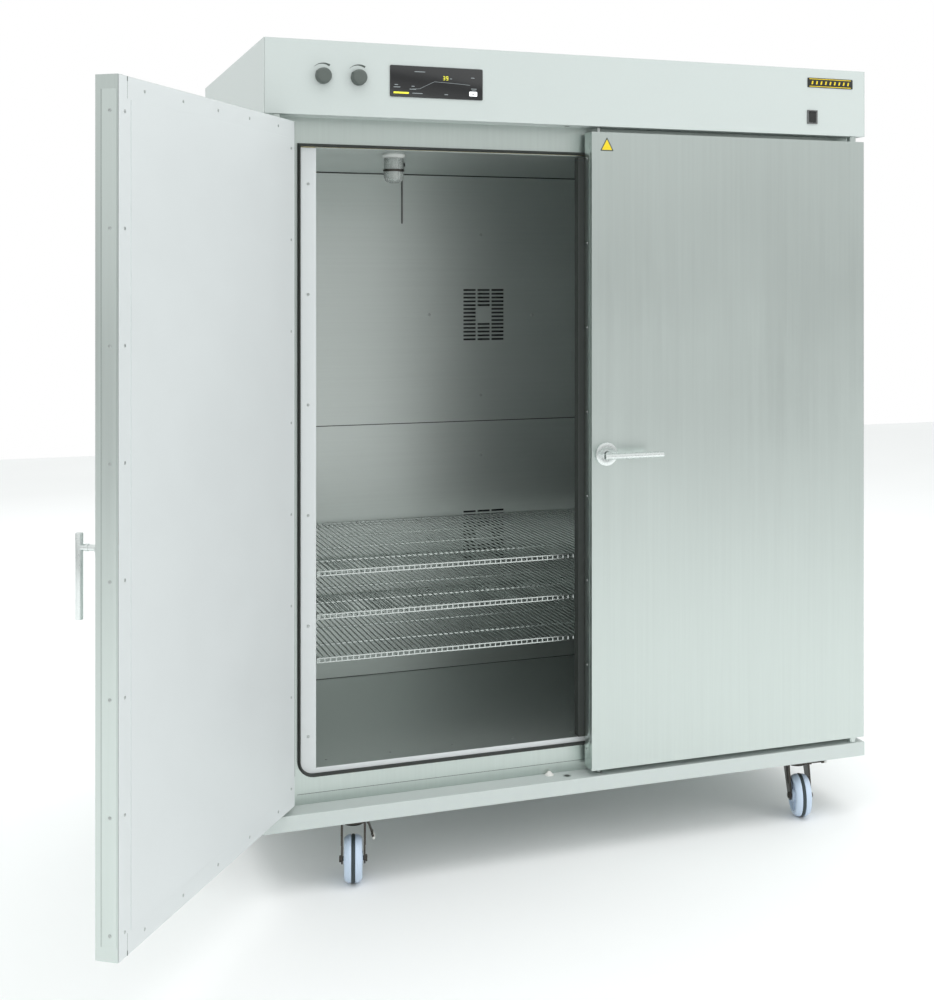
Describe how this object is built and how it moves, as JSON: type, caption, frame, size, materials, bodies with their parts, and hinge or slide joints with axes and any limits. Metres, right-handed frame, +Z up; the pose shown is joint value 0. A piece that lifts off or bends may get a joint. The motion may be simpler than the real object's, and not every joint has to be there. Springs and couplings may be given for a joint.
{
  "type": "laboratory incubator",
  "caption": "Tall double-door laboratory incubator on castors, with a fan-circulated steel chamber, wire shelves, bar handles with top and bottom latch rods, and a control fascia.",
  "frame": {"origin": "centre of the base frame's flat underside", "axes": "+Z up, -Y towards the doors, +X to the right when facing the doors"},
  "size_m": [1.8746, 1.4359, 1.81],
  "materials": {
    "painted_housing": "light grey powder coat, satin",
    "brushed_door_steel": "brushed stainless, vertical grain",
    "bright_inner_steel": "bright annealed stainless sheet",
    "chamber_steel": "ground stainless sheet",
    "polished_wire": "electropolished stainless wire",
    "handle_steel": "satin round bar",
    "seal_rubber": "matt dark silicone",
    "mineral_wool": "mineral wool",
    "dark_plastic": "fine moulded grain",
    "bezel_plastic": "moulded grey",
    "screen_glass": "black glass front",
    "lamp_glass": "clear ribbed glass with a metal band",
    "probe_steel": "dark steel rod",
    "fan_aluminium": "cast aluminium",
    "motor_metal": "black enamel",
    "castor_metal": "dark chromated steel",
    "wheel_polyamide": "pale blue-white polyamide with a dark tread band"
  },
  "bodies": {
    "cabinet": {"base_frame": "painted_housing", "side_panel_left": "painted_housing", "side_panel_right": "painted_housing", "top_panel": "painted_housing", "rear_panel": "painted_housing", "control_fascia": "painted_housing", "front_frame": "brushed_door_steel", "opening_trim": "bright_inner_steel", "chamber_liner": "chamber_steel", "back_panel_upper": "chamber_steel", "back_panel_lower": "chamber_steel", "shelf_rack_left": "chamber_steel", "shelf_rack_right": "chamber_steel", "door_seal": "seal_rubber", "insulation_jacket": "mineral_wool", "nameplate": "dark_plastic", "switch_bezel": "bezel_plastic", "display_screen": "screen_glass", "chamber_lamp": "lamp_glass", "temperature_probe": "probe_steel", "heater_element": "probe_steel", "fan_motor_upper": "motor_metal", "fan_motor_lower": "motor_metal", "castor_plate_front_left": "castor_metal", "castor_plate_front_right": "castor_metal", "castor_plate_rear_left": "castor_metal", "castor_plate_rear_right": "castor_metal"},
    "left_door": {"left_door_skin": "brushed_door_steel", "left_door_inner_panel": "bright_inner_steel", "left_door_insulation": "mineral_wool", "left_door_rosette": "brushed_door_steel"},
    "right_door": {"right_door_skin": "brushed_door_steel", "right_door_inner_panel": "bright_inner_steel", "right_door_insulation": "mineral_wool", "right_door_rosette": "brushed_door_steel", "right_door_edge_seal": "seal_rubber"},
    "left_handle": {"left_door_handle": "handle_steel"},
    "left_rod_upper": {"left_latch_rod_upper": "brushed_door_steel"},
    "left_rod_lower": {"left_latch_rod_lower": "brushed_door_steel"},
    "right_handle": {"right_door_handle": "handle_steel"},
    "right_rod_upper": {"right_latch_rod_upper": "brushed_door_steel"},
    "right_rod_lower": {"right_latch_rod_lower": "brushed_door_steel"},
    "air_inlet_knob": {"air_inlet_knob": "dark_plastic"},
    "air_outlet_knob": {"air_outlet_knob": "dark_plastic"},
    "mains_rocker": {"mains_rocker": "dark_plastic"},
    "impeller_upper": {"fan_impeller_upper": "fan_aluminium"},
    "impeller_lower": {"fan_impeller_lower": "fan_aluminium"},
    "shelf_1": {"wire_shelf_1": "polished_wire"},
    "shelf_2": {"wire_shelf_2": "polished_wire"},
    "shelf_3": {"wire_shelf_3": "polished_wire"},
    "fork_front_left": {"castor_fork_front_left": "castor_metal"},
    "wheel_front_left": {"castor_wheel_front_left": "wheel_polyamide"},
    "fork_front_right": {"castor_fork_front_right": "castor_metal"},
    "wheel_front_right": {"castor_wheel_front_right": "wheel_polyamide"},
    "fork_rear_left": {"castor_fork_rear_left": "castor_metal"},
    "wheel_rear_left": {"castor_wheel_rear_left": "wheel_polyamide"},
    "fork_rear_right": {"castor_fork_rear_right": "castor_metal"},
    "wheel_rear_right": {"castor_wheel_rear_right": "wheel_polyamide"},
    "pedal_front_left": {"brake_pedal_front_left": "castor_metal"},
    "pedal_front_right": {"brake_pedal_front_right": "castor_metal"}
  },
  "joints": [
    {"name": "left_door_hinge", "type": "hinge", "parent": "cabinet", "child": "left_door", "pos_m": [-0.706, -0.417, 0.77], "axis": [0, 0, -1], "range_deg": [-124.6, 55.4]},
    {"name": "right_door_hinge", "type": "hinge", "parent": "cabinet", "child": "right_door", "pos_m": [0.706, -0.417, 0.77], "axis": [0, 0, 1], "range_deg": [0, 180]},
    {"name": "left_handle_turn", "type": "hinge", "parent": "left_door", "child": "left_handle", "pos_m": [-1.09204, -0.95371, 0.715], "axis": [0.8231, -0.5678, 0], "range_deg": [0, 90]},
    {"name": "right_handle_turn", "type": "hinge", "parent": "right_door", "child": "right_handle", "pos_m": [0.045, -0.43, 0.765], "axis": [0, 1, 0], "range_deg": [0, 90]},
    {"name": "left_rod_upper_slide", "type": "slide", "parent": "left_door", "child": "left_rod_upper", "axis": [0, 0, 1], "range_m": [0, 0.0096]},
    {"name": "left_rod_lower_slide", "type": "slide", "parent": "left_door", "child": "left_rod_lower", "axis": [0, 0, -1], "range_m": [0, 0.0096]},
    {"name": "right_rod_upper_slide", "type": "slide", "parent": "right_door", "child": "right_rod_upper", "axis": [0, 0, -1], "range_m": [0, 0.0096]},
    {"name": "right_rod_lower_slide", "type": "slide", "parent": "right_door", "child": "right_rod_lower", "axis": [0, 0, 1], "range_m": [0, 0.0096]},
    {"name": "air_inlet_knob_turn", "type": "hinge", "parent": "cabinet", "child": "air_inlet_knob", "pos_m": [-0.609, -0.43, 1.594], "axis": [0, 1, 0], "range_deg": [0, 104]},
    {"name": "air_outlet_knob_turn", "type": "hinge", "parent": "cabinet", "child": "air_outlet_knob", "pos_m": [-0.532, -0.43, 1.594], "axis": [0, 1, 0], "range_deg": [0, 104]},
    {"name": "mains_rocker_tilt", "type": "hinge", "parent": "cabinet", "child": "mains_rocker", "pos_m": [0.587, -0.43, 1.5535], "axis": [1, 0, 0], "range_deg": [-16, 0]},
    {"name": "impeller_upper_spin", "type": "hinge", "parent": "cabinet", "child": "impeller_upper", "pos_m": [0, 0.319, 1.0665], "axis": [0, 1, 0], "continuous": true},
    {"name": "impeller_lower_spin", "type": "hinge", "parent": "cabinet", "child": "impeller_lower", "pos_m": [0, 0.319, 0.4615], "axis": [0, 1, 0], "continuous": true},
    {"name": "shelf_1_draw", "type": "slide", "parent": "cabinet", "child": "shelf_1", "axis": [0, -1, 0], "range_m": [0, 0.04]},
    {"name": "shelf_2_draw", "type": "slide", "parent": "cabinet", "child": "shelf_2", "axis": [0, -1, 0], "range_m": [0, 0.04]},
    {"name": "shelf_3_draw", "type": "slide", "parent": "cabinet", "child": "shelf_3", "axis": [0, -1, 0], "range_m": [0, 0.04]},
    {"name": "castor_front_left_swivel", "type": "hinge", "parent": "cabinet", "child": "fork_front_left", "pos_m": [-0.525, -0.355, -0.015], "axis": [0, 0, 1], "continuous": true},
    {"name": "castor_front_left_roll", "type": "hinge", "parent": "fork_front_left", "child": "wheel_front_left", "pos_m": [-0.53419, -0.39187, -0.09], "axis": [0.9703, -0.2419, 0], "continuous": true},
    {"name": "brake_front_left_press", "type": "hinge", "parent": "fork_front_left", "child": "pedal_front_left", "pos_m": [-0.49637, -0.37038, -0.0206], "axis": [0.2419, 0.9703, 0], "range_deg": [-75, 0]},
    {"name": "castor_front_right_swivel", "type": "hinge", "parent": "cabinet", "child": "fork_front_right", "pos_m": [0.588, -0.355, -0.015], "axis": [0, 0, 1], "continuous": true},
    {"name": "castor_front_right_roll", "type": "hinge", "parent": "fork_front_right", "child": "wheel_front_right", "pos_m": [0.57689, -0.39134, -0.09], "axis": [0.9563, -0.2924, 0], "continuous": true},
    {"name": "brake_front_right_press", "type": "hinge", "parent": "fork_front_right", "child": "pedal_front_right", "pos_m": [0.61579, -0.37186, -0.0206], "axis": [0.2924, 0.9563, 0], "range_deg": [0, 75]},
    {"name": "castor_rear_left_swivel", "type": "hinge", "parent": "cabinet", "child": "fork_rear_left", "pos_m": [-0.525, 0.355, -0.015], "axis": [0, 0, 1], "continuous": true},
    {"name": "castor_rear_left_roll", "type": "hinge", "parent": "fork_rear_left", "child": "wheel_rear_left", "pos_m": [-0.5329, 0.31783, -0.09], "axis": [0.9781, -0.2079, 0], "continuous": true},
    {"name": "castor_rear_right_swivel", "type": "hinge", "parent": "cabinet", "child": "fork_rear_right", "pos_m": [0.588, 0.355, -0.015], "axis": [0, 0, 1], "continuous": true},
    {"name": "castor_rear_right_roll", "type": "hinge", "parent": "fork_rear_right", "child": "wheel_rear_right", "pos_m": [0.57817, 0.31829, -0.09], "axis": [0.9659, -0.2588, 0], "continuous": true}
  ],
  "couplings": [
    {"joint": "left_rod_upper_slide", "follows": "left_handle_turn", "m_per_rad": 0.0061},
    {"joint": "left_rod_lower_slide", "follows": "left_handle_turn", "m_per_rad": 0.0061},
    {"joint": "right_rod_upper_slide", "follows": "right_handle_turn", "m_per_rad": 0.0061},
    {"joint": "right_rod_lower_slide", "follows": "right_handle_turn", "m_per_rad": 0.0061}
  ]
}
